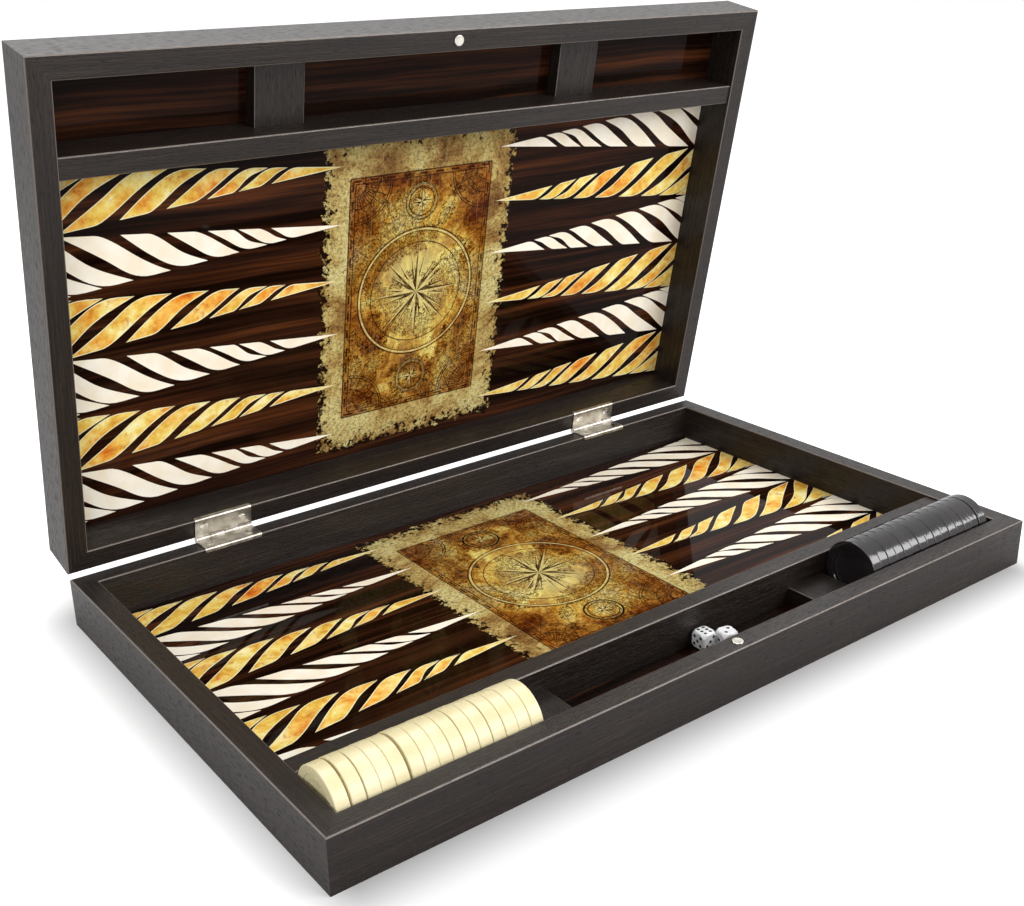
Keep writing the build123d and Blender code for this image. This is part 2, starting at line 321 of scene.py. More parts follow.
# Inlay prints under the same lacquer: warm ivory, and amber that clouds from pale yellow to orange with
# red-brown veins, a pale rim and a black outline
inlay = {
    "ivory": [(0.35, "f7ead2"), (0.62, "fdf6e7")],
    "outline": [(0.35, "060404"), (0.62, "0e0907")],
    "rim": [(0.35, "ecdfa6"), (0.62, "f6eec2")],
    "clouds": 14.0,  # mm across the soft clouds of these three
    "pale": [(0.33, "d9a23a"), (0.42, "e9bd50"), (0.5, "f1d26c"), (0.58, "f6e593"), (0.68, "fbf4c2")],
    "orange": [(0.33, "c9591a"), (0.43, "e98b2c"), (0.52, "f2b048"), (0.64, "f8d476")],
    "ember": "bf3f14",
    "zone": 34.0,  # mm across amber's patches, clouds and veins
    "cloud": 12.0,
    "vein": 9.0,
}


def lacquerPrint(name, ramp):
    material, tree = newMaterial(name)
    spot = addNode(tree, "TexCoord")
    size = inlay["clouds"] * mm
    clouds = addNode(
        tree, "TexNoise", {"Scale": 1 / size, "Detail": 3.0}, {"Vector": spot.outputs["Object"]}
    )
    colour = addNode(tree, "ValToRGB", {"ramp": ramp}, {"Fac": clouds.outputs["Fac"]})
    shader = addNode(tree, "BsdfPrincipled", lacquer, {"Base Color": colour.outputs["Color"]})
    addNode(tree, "OutputMaterial", None, {"Surface": shader.outputs[0]})
    return material


def amberPrint():
    material, tree = newMaterial("amberPrint")
    spot = addNode(tree, "TexCoord")
    zones, clouds, veins = (
        addNode(
            tree,
            "TexNoise",
            {"Scale": 1 / (size * mm), "Detail": detail, "Roughness": roughness, "Distortion": twist},
            {"Vector": spot.outputs["Object"]},
        )
        for size, detail, roughness, twist in (
            (inlay["zone"], 2.0, 0.5, 0.0),
            (inlay["cloud"], 6.0, 0.66, 0.3),
            (inlay["vein"], 7.0, 0.75, 0.6),
        )
    )
    pale = addNode(tree, "ValToRGB", {"ramp": inlay["pale"]}, {"Fac": clouds.outputs["Fac"]})
    orange = addNode(tree, "ValToRGB", {"ramp": inlay["orange"]}, {"Fac": clouds.outputs["Fac"]})
    zoneMask = addNode(
        tree, "ValToRGB", {"ramp": [(0.47, "000000"), (0.66, "ffffff")]}, {"Fac": zones.outputs["Fac"]}
    )
    mixed = addNode(
        tree,
        "Mix",
        {"data_type": "RGBA"},
        {0: zoneMask.outputs["Color"], 6: pale.outputs["Color"], 7: orange.outputs["Color"]},
    )
    veinMask = addNode(
        tree, "ValToRGB", {"ramp": [(0.545, "000000"), (0.67, "d0d0d0")]}, {"Fac": veins.outputs["Fac"]}
    )
    colour = addNode(
        tree,
        "Mix",
        {"data_type": "RGBA", 7: linearColour(inlay["ember"])},
        {0: veinMask.outputs["Color"], 6: mixed.outputs[2]},
    )
    shader = addNode(tree, "BsdfPrincipled", lacquer, {"Base Color": colour.outputs[2]})
    addNode(tree, "OutputMaterial", None, {"Surface": shader.outputs[0]})
    return material


# Striped points: one triangle of slanted stripes, drawn once and laid out for each half
points = {
    "aSide": 6,
    "length": 178.5,
    "rimWidth": 0.55,
    "outlineWidth": 0.9,
    "layer": 0.07,  # mm that the stripe lies above its outline
    # mm from the rail: each stripe's sharp end, the bend of its back, its tail, the bottom of its belly,
    # and where its belly and its back cross the middle line
    "stripes": (
        (110.1, 122.7, 141.2, 134.1, 120.9, 132.8),
        (90.9, 105.9, 128.4, 120.9, 104.7, 115.4),
        (66.5, 82.0, 110.5, 102.0, 82.6, 99.3),
        (39.4, 55.1, 90.6, 81.6, 56.2, 73.2),
        (5.8, 24.8, 67.8, 57.8, 31.3, 48.8),
        (-25.0, -5.0, 45.8, 36.3, 5.5, 19.7),
        (-50.5, -31.0, 27.5, 18.3, -16.0, -1.5),
        (-72.0, -56.0, 10.0, 0.0, -38.0, -22.5),
    ),
    "tipStripe": (131.0, 148.5, 138.3),  # its sharp end, belly and middle crossing
    "pulls": (0.33, 0.42, 0.22, 0.31),  # handles as shares of a side: plain, belly, bend, back
    "lean": 1.35,  # mm along the point for each mm across it
    "tailLean": 2.2,
    "fieldMargin": 1.6,  # mm between the field's edge and the first point
    "gap": 0.4,  # mm between points at the rail
}
low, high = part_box("base_points")
panelTop = low.z
inlayTop = high.z
railX = high.x
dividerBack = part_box("base_divider")[1].y
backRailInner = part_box("base_back_rail")[0].y
fieldMargin = points["fieldMargin"] * mm
pitch = (backRailInner - dividerBack - 2 * fieldMargin) / points["aSide"]
halfWidth = (pitch - points["gap"] * mm) / 2
pointLength = points["length"] * mm


def edgePoint(x, side):  # on the upper or lower edge of the triangle, x mm from the rail
    return Vector((x * mm, side * halfWidth * (1 - x / points["length"]), 0))


def addStripe(curve, corners):  # corners as (place, handle before, handle after)
    spline = curve.splines.new("BEZIER")
    spline.bezier_points.add(len(corners) - 1)
    spline.use_cyclic_u = True
    for knot, (place, before, after) in zip(spline.bezier_points, corners):
        knot.handle_left_type = knot.handle_right_type = "FREE"
        knot.co, knot.handle_left, knot.handle_right = place, before, after


def stripePattern():
    curve = bpy.data.curves.new("stripePattern", "CURVE")
    curve.dimensions = "2D"
    curve.fill_mode = "BOTH"
    curve.resolution_u = 9
    plain, bellyPull, bendPull, backPull = points["pulls"]
    tip = edgePoint(points["length"], 1)
    lean = Vector((points["lean"], -1, 0)).normalized()
    tailLean = Vector((points["tailLean"], -1, 0)).normalized()
    upper, lower = (Vector((pointLength, -side * halfWidth, 0)).normalized() for side in (1, -1))
    sharpX, bellyX, nearX = points["tipStripe"]
    sharp, belly, near = edgePoint(sharpX, 1), edgePoint(bellyX, -1), Vector((nearX * mm, 0, 0))
    reach = (belly - near).length
    addStripe(
        curve,
        [
            (sharp, sharp.lerp(near, plain), sharp.lerp(tip, plain)),
            (tip, tip.lerp(sharp, plain), tip.lerp(belly, plain)),
            (belly, belly.lerp(tip, plain), belly - lower * (bellyPull * reach)),
            (near, near + lean * (plain * reach), near.lerp(sharp, plain)),
        ],
    )
    for sharpX, bendX, tailX, bellyX, nearX, farX in points["stripes"]:
        sharp, bend = edgePoint(sharpX, 1), edgePoint(bendX, 1)
        tail, belly = edgePoint(tailX, -1), edgePoint(bellyX, -1)
        near, far = Vector((nearX * mm, 0, 0)), Vector((farX * mm, 0, 0))
        fall, run, reach = (far - bend).length, (tail - far).length, (belly - near).length
        addStripe(
            curve,
            [
                (sharp, sharp.lerp(near, plain), sharp.lerp(bend, plain)),
                (bend, bend.lerp(sharp, plain), bend + upper * (bendPull * fall)),
                (far, far - lean * (backPull * fall), far + lean * (plain * run)),
                (tail, tail - tailLean * (plain * run), tail.lerp(belly, plain)),
                (belly, belly.lerp(tail, plain), belly - lower * (bellyPull * reach)),
                (near, near + lean * (plain * reach), near - lean * (plain * (near - sharp).length)),
            ],
        )
    holder = bpy.data.objects.new("stripePattern", curve)
    mesh = bpy.data.meshes.new_from_object(holder)
    bpy.data.objects.remove(holder)
    return mesh


def stripeMesh(rimMaterial):
    # material 0 is the print, 1 its rim and 2 the dark outline that lies a little lower
    shape = bmesh.new()
    shape.from_mesh(stripePattern())
    bmesh.ops.remove_doubles(shape, verts=shape.verts, dist=0.01 * mm)
    bmesh.ops.recalc_face_normals(shape, faces=shape.faces)
    if shape.faces[0].normal.z < 0:
        bmesh.ops.reverse_faces(shape, faces=shape.faces)
    outset = bmesh.ops.duplicate(shape, geom=shape.verts[:] + shape.edges[:] + shape.faces[:])["geom"]
    under = [part for part in outset if isinstance(part, bmesh.types.BMFace)]
    ring = bmesh.ops.inset_region(
        shape, faces=under, thickness=points["outlineWidth"] * mm, use_outset=True, use_boundary=True
    )["faces"]
    for face in under + ring:
        face.material_index = 2
    top = [face for face in shape.faces if face.material_index == 0]
    if rimMaterial:
        rim = bmesh.ops.inset_region(shape, faces=top, thickness=points["rimWidth"] * mm, use_boundary=True)
        for face in rim["faces"]:
            face.material_index = 1
        top = [face for face in shape.faces if face.material_index < 2]
    topVerts = {vert for face in top for vert in face.verts}
    bmesh.ops.translate(shape, verts=list(topVerts), vec=(0, 0, points["layer"] * mm))
    cut = shape.verts[:] + shape.edges[:] + shape.faces[:]
    bmesh.ops.bisect_plane(shape, geom=cut, plane_co=(0, 0, 0), plane_no=(1, 0, 0), clear_inner=True)
    body = bmesh.ops.extrude_face_region(shape, geom=shape.faces[:])["geom"]
    raised = [part for part in body if isinstance(part, bmesh.types.BMVert)]
    bmesh.ops.translate(shape, verts=raised, vec=(0, 0, inlayTop - panelTop - points["layer"] * mm))
    mesh = bpy.data.meshes.new("stripes")
    shape.to_mesh(mesh)
    shape.free()
    return mesh


def layPoints(half, kind, materials):
    source = stripeMesh(kind == "amber")
    laid = bmesh.new()
    for number in range(points["aSide"]):
        y = backRailInner - fieldMargin - (number + 0.5) * pitch
        for end in (-1, 1):
            slant = end * (-1) ** number  # ivory slants one way and amber the other
            if (slant < 0) != (kind == "amber"):
                continue
            copy = bmesh.new()
            copy.from_mesh(source)
            turn = Matrix.Diagonal((-end, -end * slant, 1, 1))
            bmesh.ops.transform(copy, matrix=turn, verts=copy.verts)
            if slant < 0:
                bmesh.ops.reverse_faces(copy, faces=copy.faces)
            place = halfPlaces[half] @ Matrix.Translation((end * railX, y, panelTop))
            bmesh.ops.transform(copy, matrix=place, verts=copy.verts)
            addShape(laid, copy)
    piece = newPiece(f"{half}{kind.capitalize()}Points", laid, half, *materials)
    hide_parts(half + "_points")


# Moulded urea plastic: faint clouds in its colour, and a gloss that smears and ripples from the mould
plastic = {
    "cloud": 20.0,  # mm
    "smear": 3.0,
    "ripple": 0.02,
    "bump": 0.25,
    "ivory": [(0.35, "d5c99e"), (0.65, "dfd4ae")],
    "black": [(0.35, "151213"), (0.65, "201c1e")],
    "blackRipple": 0.3,  # mm, more than the real one so that the highlights break up
    "dice": [(0.35, "dededf"), (0.65, "e9e9ea")],
    "pips": [(0.35, "050505"), (0.65, "0a0a0a")],
}


def mouldedPlastic(name, ramp, roughness, gloss=0.5, subsurface=0.0, ripple=plastic["ripple"]):
    material, tree = newMaterial(name)
    spot = addNode(tree, "TexCoord")
    clouds, smears = (
        addNode(
            tree, "TexNoise", {"Scale": 1 / (size * mm), "Detail": 3.0}, {"Vector": spot.outputs["Object"]}
        )
        for size in (plastic["cloud"], plastic["smear"])
    )
    colour = addNode(tree, "ValToRGB", {"ramp": ramp}, {"Fac": clouds.outputs["Fac"]})
    rough = addNode(
        tree,
        "MapRange",
        {"To Min": roughness * 0.75, "To Max": roughness * 1.25},
        {"Value": smears.outputs["Fac"]},
    )
    bump = addNode(
        tree,
        "Bump",
        {"Strength": plastic["bump"], "Distance": ripple * mm},
        {"Height": smears.outputs["Fac"]},
    )
    shader = addNode(
        tree,
        "BsdfPrincipled",
        {
            "IOR": 1.5,
            "Specular IOR Level": gloss,
            "Subsurface Weight": subsurface,
            "Subsurface Radius": (2 * mm, 1.5 * mm, 1 * mm),
            "Subsurface Scale": 1.0,
        },
        {"Base Color": colour.outputs["Color"], "Roughness": rough.outputs[0], "Normal": bump.outputs[0]},
    )
    addNode(tree, "OutputMaterial", None, {"Surface": shader.outputs[0]})
    return material


# Nickel-plated steel, stamped: warm grey with faint stains and a slightly uneven, fairly sharp gloss
plating = {
    "stain": 6.0,  # mm
    "grain": 0.7,
    "relief": 0.03,
    "hinge": ("928c83", "c0bbb1"),
    "screw": ("a9a59c", "dcdad4"),
    "magnet": ("b5b0a6", "dedad0"),
}


def platedSteel(name, dull, bright, roughness):
    material, tree = newMaterial(name)
    spot = addNode(tree, "TexCoord")
    stains, fine = (
        addNode(
            tree, "TexNoise", {"Scale": 1 / (size * mm), "Detail": detail}, {"Vector": spot.outputs["Object"]}
        )
        for size, detail in ((plating["stain"], 5.0), (plating["grain"], 2.0))
    )
    colour = addNode(
        tree, "ValToRGB", {"ramp": [(0.35, dull), (0.65, bright)]}, {"Fac": stains.outputs["Fac"]}
    )
    rough = addNode(
        tree,
        "MapRange",
        {"To Min": roughness - 0.08, "To Max": roughness + 0.12},
        {"Value": stains.outputs["Fac"]},
    )
    bump = addNode(
        tree, "Bump", {"Strength": 0.3, "Distance": plating["relief"] * mm}, {"Height": fine.outputs["Fac"]}
    )
    shader = addNode(
        tree,
        "BsdfPrincipled",
        {"Metallic": 1.0},
        {"Base Color": colour.outputs["Color"], "Roughness": rough.outputs[0], "Normal": bump.outputs[0]},
    )
    addNode(tree, "OutputMaterial", None, {"Surface": shader.outputs[0]})
    return material


print("case, panels and hinges")
for half in ("base", "lid"):
    alongX = wengeFoil(half, 0.0, "wengeFoilLong_" + half)
    alongY = wengeFoil(half, math.pi / 2, "wengeFoilCross_" + half)
    for name in ("front_rail", "back_rail", "divider"):
        paint(f"{half}_{name}", alongX)
    for name in ("left_rail", "right_rail", "left_block", "right_block"):
        paint(f"{half}_{name}", alongY)
    paint(half + "_panel", ebonyPanel(half))

hingeSteel = platedSteel("platedSteel", *plating["hinge"], roughness=0.32)
screwSteel = platedSteel("screwSteel", *plating["screw"], roughness=0.2)
magnetNickel = platedSteel("nickel", *plating["magnet"], roughness=0.25)
for half in ("base", "lid"):
    paint(half + "_magnet", magnetNickel)
    paint(half + "_hinge_screws", screwSteel)
    for side in ("left", "right"):
        paint(f"{side}_hinge_{half}_leaf", hingeSteel)
for side in ("left", "right"):
    paint(side + "_hinge_pin", screwSteel)

print("checkers and dice")
ivoryPlastic = mouldedPlastic(
    "ivoryPlastic", plastic["ivory"], roughness=0.26, gloss=0.34, subsurface=0.15
)
blackPlastic = mouldedPlastic(
    "blackPlastic", plastic["black"], roughness=0.1, gloss=0.62, ripple=plastic["blackRipple"]
)
diceWhite = mouldedPlastic("diceWhite", plastic["dice"], roughness=0.16)
pipBlack = mouldedPlastic("pipBlack", plastic["pips"], roughness=0.3)  # enamel paint in the hollows
for name in nodes:
    if name.startswith("ivory_checker"):
        paint(name, ivoryPlastic)
    if name.startswith("black_checker"):
        paint(name, blackPlastic)
    if name.endswith("_die"):
        paint(name, diceWhite)

# Old chart printed in the middle of each field: a torn parchment with generic compass ornament
chart = {
    "halfWidth": 71.0,
    "front": 0.3,  # mm from the divider
    "back": 131.0,
    "tear": 6.5,  # mm that the torn edge wanders
    "tearLength": 10.0,
    "step": 0.45,  # mm between points of the torn edge
    "thickness": 0.06,
    "inkHeight": 0.03,
    "frameHalfWidth": 53.0,
    "frameFront": -58.0,
    "frameBack": 107.0,
    "frameInset": 3.8,  # from the outer frame line to the inner one
    "tickInset": 1.9,
    "roseRadius": 45.0,
    "smallRoseRadius": 12.5,
    "smallRoseShift": 62.0,
    "fanRadius": 27.0,
    "tick": 6.0,
    "rays": 24,
}
chartMiddle = Vector((0, (chart["frameFront"] + chart["frameBack"]) / 2 * mm, 0))

# Aged parchment, printed: blotched gold to red-brown inside the frame and dull straw outside it, with
# grime, fine contour lines, engraved patches, pale scratches, a bleached middle and worn, frayed edges
parchment = {
    "field": [(0.36, "6a310e"), (0.44, "ae7527"), (0.5, "d6a946"), (0.56, "edd873"), (0.66, "f7f2ae")],
    "margin": [(0.35, "6e4622"), (0.44, "a38048"), (0.51, "c3ab69"), (0.62, "d6c98a")],
    "warm": "a85d28",
    "grime": "5f4828",
    "contourLine": "5a3312",
    "bleached": "e8e293",
    "engraving": "5c260c",
    "scratch": "efe2a8",
    "hole": "1c0d06",
    "darkInk": "2f1508",
    "paleInk": "dcc884",
    "blotch": 34.0,  # mm across, as the next ones
    "warmth": 40.0,
    "speckle": 2.2,
    "relief": 26.0,
    "contours": 17.0,  # lines across the relief
    "patch": 30.0,
    "burin": 1.6,  # coarser than a real engraved line so that it shows
    "scratchWidth": 0.7,
    "scratchLength": 45.0,
    "fray": 5.0,
    "wear": 5.0,
}


def parchmentColour(tree, own):
    seen = own.outputs[0]
    fac = {}
    for name, detail, roughness, twist in (
        ("blotch", 8.0, 0.68, 0.6),
        ("warmth", 3.0, 0.5, 0.0),
        ("speckle", 6.0, 0.75, 0.0),
        ("relief", 7.0, 0.6, 0.8),
        ("patch", 5.0, 0.6, 0.0),
        ("burin", 3.0, 0.6, 1.2),
        ("fray", 7.0, 0.75, 0.0),
    ):
        settings = {"Scale": 1 / (parchment[name] * mm), "Detail": detail}
        settings |= {"Roughness": roughness, "Distortion": twist}
        fac[name] = addNode(tree, "TexNoise", settings, {"Vector": seen}).outputs["Fac"]
    scratchSize = (1 / (parchment["scratchWidth"] * mm), 1 / (parchment["scratchLength"] * mm), 1)
    scratchSpace = addNode(tree, "Mapping", {"Scale": scratchSize}, {"Vector": seen})
    fac["scratches"] = addNode(
        tree, "TexNoise", {"Scale": 1.0, "Detail": 3.0, "Roughness": 0.6}, {"Vector": scratchSpace.outputs[0]}
    ).outputs["Fac"]
    lines = addNode(tree, "Math", {"operation": "MULTIPLY", 1: parchment["contours"]}, {0: fac["relief"]})
    folded = addNode(tree, "Math", {"operation": "PINGPONG", 1: 0.5}, {0: lines.outputs[0]})
    fac["contour"] = folded.outputs[0]
    colours = {
        part: addNode(tree, "ValToRGB", {"ramp": ramp}, {"Fac": fac[source]}).outputs["Color"]
        for part, source, ramp in (
            ("field", "blotch", parchment["field"]),
            ("margin", "blotch", parchment["margin"]),
            ("grime", "speckle", [(0.36, parchment["grime"]), (0.52, "ffffff")]),
            ("contour", "contour", [(0.0, parchment["contourLine"]), (0.14, "ffffff")]),
            ("shore", "patch", [(0.475, "000000"), (0.48, "ffffff"), (0.495, "ffffff"), (0.505, "dcdcdc")]),
            ("strokes", "burin", [(0.46, "ffffff"), (0.54, "4a4a4a")]),
            ("scratches", "scratches", [(0.57, "000000"), (0.68, "6c6c6c")]),
        )
    }

    # shares of the way from a middle to an edge, across and along, for the frame and for the torn sheet
    halfWide, halfHigh = chart["frameHalfWidth"] * mm, chart["frameBack"] * mm - chartMiddle.y
    sheetMiddle = Vector((0, (chart["front"] * mm + dividerBack + chart["back"] * mm) / 2, 0))
    sheetReach = chart["back"] * mm - sheetMiddle.y
    ways, nearest = [], []
    for middle, reachX, reachY in (
        (chartMiddle, halfWide, halfHigh),
        (sheetMiddle, chart["halfWidth"] * mm, sheetReach),
    ):
        centred = addNode(tree, "VectorMath", {"operation": "SUBTRACT", 1: middle}, {0: seen})
        way = addNode(
            tree,
            "VectorMath",
            {"operation": "MULTIPLY", 1: (1 / reachX, 1 / reachY, 0)},
            {0: centred.outputs[0]},
        )
        sides = addNode(tree, "VectorMath", {"operation": "ABSOLUTE"}, {0: way.outputs[0]})
        axes = addNode(tree, "SeparateXYZ", None, {0: sides.outputs[0]})
        most = addNode(tree, "Math", {"operation": "MAXIMUM"}, {0: axes.outputs["X"], 1: axes.outputs["Y"]})
        ways.append(way.outputs[0])
        nearest.append(most.outputs[0])
    inside = addNode(tree, "Math", {"operation": "LESS_THAN", 1: 1.0}, {0: nearest[0]}).outputs[0]
    outward = addNode(tree, "VectorMath", {"operation": "LENGTH"}, {0: ways[0]})
    wandering = addNode(tree, "Math", {"operation": "ADD"}, {0: outward.outputs["Value"], 1: fac["warmth"]})

    # masks that hold only inside the frame: the warm rim, the bleached middle and the engraving
    rim, glow = (
        addNode(
            tree,
            "MapRange",
            {"From Min": none, "From Max": full, "To Max": most},
            {"Value": wandering.outputs[0]},
        )
        for none, full, most in ((1.05, 1.75, 0.85), (1.1, 0.5, 0.72))
    )
    engraved = addNode(
        tree,
        "Mix",
        {"data_type": "RGBA", "blend_type": "MULTIPLY", 0: 1.0},
        {6: colours["shore"], 7: colours["strokes"]},
    )
    warm, bleached, engraving = (
        addNode(tree, "Math", {"operation": "MULTIPLY"}, {0: mask, 1: inside}).outputs[0]
        for mask in (rim.outputs[0], glow.outputs[0], engraved.outputs[2])
    )
    # worn through to the veneer near the torn edge
    nearEdge = addNode(
        tree, "MapRange", {"From Min": 0.82, "From Max": 1.0, "To Max": 0.22}, {"Value": nearest[1]}
    )
    frayed = addNode(tree, "Math", {"operation": "ADD"}, {0: nearEdge.outputs[0], 1: fac["fray"]})
    holes = addNode(tree, "MapRange", {"From Min": 0.66, "From Max": 0.69}, {"Value": frayed.outputs[0]})

    laid = addNode(tree, "Mix", {"data_type": "RGBA"}, {0: inside, 6: colours["margin"], 7: colours["field"]})
    for blend, share, colour in (  # a share is a number or a mask, a colour is hex text or a pattern
        ("MULTIPLY", warm, parchment["warm"]),
        ("MULTIPLY", 0.8, colours["grime"]),
        ("MULTIPLY", 0.6, colours["contour"]),
        ("MIX", bleached, parchment["bleached"]),
        ("MULTIPLY", engraving, parchment["engraving"]),
        ("MIX", colours["scratches"], parchment["scratch"]),
        ("MIX", holes.outputs[0], parchment["hole"]),
    ):
        settings, links = {"data_type": "RGBA", "blend_type": blend}, {6: laid.outputs[2]}
        (settings if isinstance(share, float) else links)[0] = share
        if isinstance(colour, str):
            settings[7] = linearColour(colour)
        else:
            links[7] = colour
        laid = addNode(tree, "Mix", settings, links)
    return laid


def parchmentPrint(half):
    material, tree = newMaterial("parchment_" + half)
    colour = parchmentColour(tree, ownCoordinates(tree, half))
    shader = addNode(tree, "BsdfPrincipled", lacquer, {"Base Color": colour.outputs[2]})
    addNode(tree, "OutputMaterial", None, {"Surface": shader.outputs[0]})
    return material


def sepiaInk(half, name, hexText, fade):  # printing ink that is worn away in places, down to the parchment
    material, tree = newMaterial(name + half)
    own = ownCoordinates(tree, half)
    wear = addNode(
        tree,
        "TexNoise",
        {"Scale": 1 / (parchment["wear"] * mm), "Detail": 6.0, "Roughness": 0.7},
        {"Vector": own.outputs[0]},
    )
    worn = addNode(
        tree, "MapRange", {"From Min": 0.4, "From Max": 0.62, "To Max": fade}, {"Value": wear.outputs["Fac"]}
    )
    paper = parchmentColour(tree, own)
    colour = addNode(
        tree,
        "Mix",
        {"data_type": "RGBA", 6: linearColour(hexText)},
        {0: worn.outputs[0], 7: paper.outputs[2]},
    )
    shader = addNode(tree, "BsdfPrincipled", lacquer, {"Base Color": colour.outputs[2]})
    addNode(tree, "OutputMaterial", None, {"Surface": shader.outputs[0]})
    return material


def tornSheet(shape):
    front = dividerBack / mm + chart["front"]
    width, back = chart["halfWidth"], chart["back"]
    corners = [(-width, front), (width, front), (width, back), (-width, back)]
    verts = [shape.verts.new((x * mm, y * mm, 0)) for x, y in corners]
    sheet = shape.faces.new(verts)
    for edge in list(shape.edges):
        cuts = int(edge.calc_length() / (chart["step"] * mm))
        bmesh.ops.subdivide_edges(shape, edges=[edge], cuts=cuts)
    for vert in shape.verts:
        spot = vert.co / (chart["tearLength"] * mm)
        inward = Vector((-vert.co.x, chartMiddle.y - vert.co.y, 0)).normalized()
        wander = noise.fractal(spot, 0.7, 2.1, 5) + 0.35 * noise.noise(spot * 7)
        rough = 1.0 if vert.co.y > (front + 2) * mm else 0.0  # the edge at the divider is cut straight
        vert.co += inward * (wander * chart["tear"] * mm * 0.6 * rough)
    bmesh.ops.triangulate(shape, faces=[sheet])
    body = bmesh.ops.extrude_face_region(shape, geom=shape.faces[:])["geom"]
    raised = [part for part in body if isinstance(part, bmesh.types.BMVert)]
    bmesh.ops.translate(shape, verts=raised, vec=(0, 0, chart["thickness"] * mm))


def inkRing(shape, middle, radius, width, ink=1):
    place = Matrix.Translation((middle.x, middle.y, inkLevel))
    made = bmesh.ops.create_circle(
        shape, cap_ends=True, segments=96, radius=radius * mm, matrix=place
    )["verts"]
    disc = list(made[0].link_faces)
    ring = bmesh.ops.inset_region(shape, faces=disc, thickness=width * mm, use_boundary=True)["faces"]
    bmesh.ops.delete(shape, geom=disc, context="FACES")
    for face in ring:
        face.material_index = ink


def inkLine(shape, start, end, width):
    along = end - start
    angle = math.atan2(along.y, along.x)
    middle = (start + end) / 2
    place = Matrix.Translation((middle.x, middle.y, inkLevel)) @ Matrix.Rotation(angle, 4, "Z")
    size = Matrix.Diagonal((along.length, width * mm, 1, 1))
    bmesh.ops.create_grid(shape, x_segments=1, y_segments=1, size=0.5, matrix=place @ size)


def inkFrame(shape, inset, width):
    x = (chart["frameHalfWidth"] - inset) * mm
    front, back = (chart["frameFront"] + inset) * mm, (chart["frameBack"] - inset) * mm
    corners = [Vector((-x, front, 0)), Vector((x, front, 0)), Vector((x, back, 0)), Vector((-x, back, 0))]
    for start, end in zip(corners, corners[1:] + corners[:1]):
        inkLine(shape, start, end, width)


def inkStar(shape, middle, tips, longRadius, shortRadius, turn, layer):
    # every point is split down its middle into a dark and a pale side, each star above what lies under it
    centre = Vector((middle.x, middle.y, inkLevel + layer * chart["inkHeight"] * mm))
    place = Matrix.Translation(centre) @ Matrix.Rotation(turn, 4, "Z")
    made = bmesh.ops.create_circle(
        shape, cap_ends=True, cap_tris=True, segments=2 * tips, radius=longRadius * mm, matrix=place
    )["verts"]
    rim = [vert for vert in made if (vert.co - centre).length > mm]
    for vert in rim[1::2]:
        vert.co = centre.lerp(vert.co, shortRadius / longRadius)
    faces = {face for vert in rim for face in vert.link_faces}
    for face in faces:
        away = face.calc_center_median() - centre
        angle = math.atan2(away.y, away.x) - turn
        face.material_index = 1 + int(angle / math.pi * tips // 1) % 2


def compassRose(shape, middle, radius, tips):
    rings = ((1.0, 1.0, 1), (0.975, 1.2, 2), (0.945, 0.6, 1), (0.78, 0.7, 1), (0.3, 0.6, 1))
    for share, width, ink in rings:
        inkRing(shape, middle, radius * share, width, ink)
    inkStar(shape, middle, tips, radius * 0.6, radius * 0.16, math.pi / tips, 1)
    inkStar(shape, middle, tips // 2, radius * 0.77, radius * 0.13, 0, 2)
    marks = tips * 9
    for number in range(marks):
        angle = 2 * math.pi * number / marks
        way = Vector((math.cos(angle), math.sin(angle), 0))
        inner = 0.86 if number % 9 == 0 else 0.91
        start, stop = middle + way * (radius * inner * mm), middle + way * (radius * 0.93 * mm)
        inkLine(shape, start, stop, width=0.45)


def cornerFan(shape, corner, inwardX, inwardY):
    # quarter rings and rays, cut off by the chart's frame
    fan = bmesh.new()
    for share in (1.0, 0.94, 0.62, 0.3):
        inkRing(fan, corner, chart["fanRadius"] * share, width=0.7)
    for number in range(1, 12):
        angle = number * math.pi / 24
        way = Vector((inwardX * math.cos(angle), inwardY * math.sin(angle), 0))
        reach = chart["fanRadius"] * (0.94 if number % 2 else 0.62) * mm
        start = corner + way * (chart["fanRadius"] * 0.3 * mm)
        inkLine(fan, start, corner + way * reach, width=0.5)
    for normal in ((-inwardX, 0, 0), (0, -inwardY, 0)):
        everything = fan.verts[:] + fan.edges[:] + fan.faces[:]
        bmesh.ops.bisect_plane(fan, geom=everything, plane_co=corner, plane_no=normal, clear_outer=True)
    addShape(shape, fan)


def borderTicks(shape):
    inset = chart["tickInset"]
    x = (chart["frameHalfWidth"] - inset) * mm
    front, back = (chart["frameFront"] + inset) * mm, (chart["frameBack"] - inset) * mm
    step = chart["tick"] * mm
    across = int(2 * x / step)
    for number in range(0, across, 2):
        start = -x + number * 2 * x / across
        stop = start + 2 * x / across
        for y in (front, back):
            inkLine(shape, Vector((start, y, 0)), Vector((stop, y, 0)), width=1.4)
    along = int((back - front) / step)
    for number in range(0, along, 2):
        start = front + number * (back - front) / along
        stop = start + (back - front) / along
        for side in (-x, x):
            inkLine(shape, Vector((side, start, 0)), Vector((side, stop, 0)), width=1.4)


def rhumbLines(shape):
    # rays from the big rose to the frame's inner line
    inset = chart["frameInset"] + 0.7
    x = (chart["frameHalfWidth"] - inset) * mm
    y = (chart["frameBack"] - inset) * mm - chartMiddle.y
    for number in range(chart["rays"]):
        angle = (number + 0.5) * 2 * math.pi / chart["rays"]
        way = Vector((math.cos(angle), math.sin(angle), 0))
        reach = min(x / abs(way.x), y / abs(way.y))
        start = chart["roseRadius"] * 1.04 * mm
        if reach > start:
            inkLine(shape, chartMiddle + way * start, chartMiddle + way * reach, width=0.35)


inkLevel = (chart["thickness"] + chart["inkHeight"]) * mm


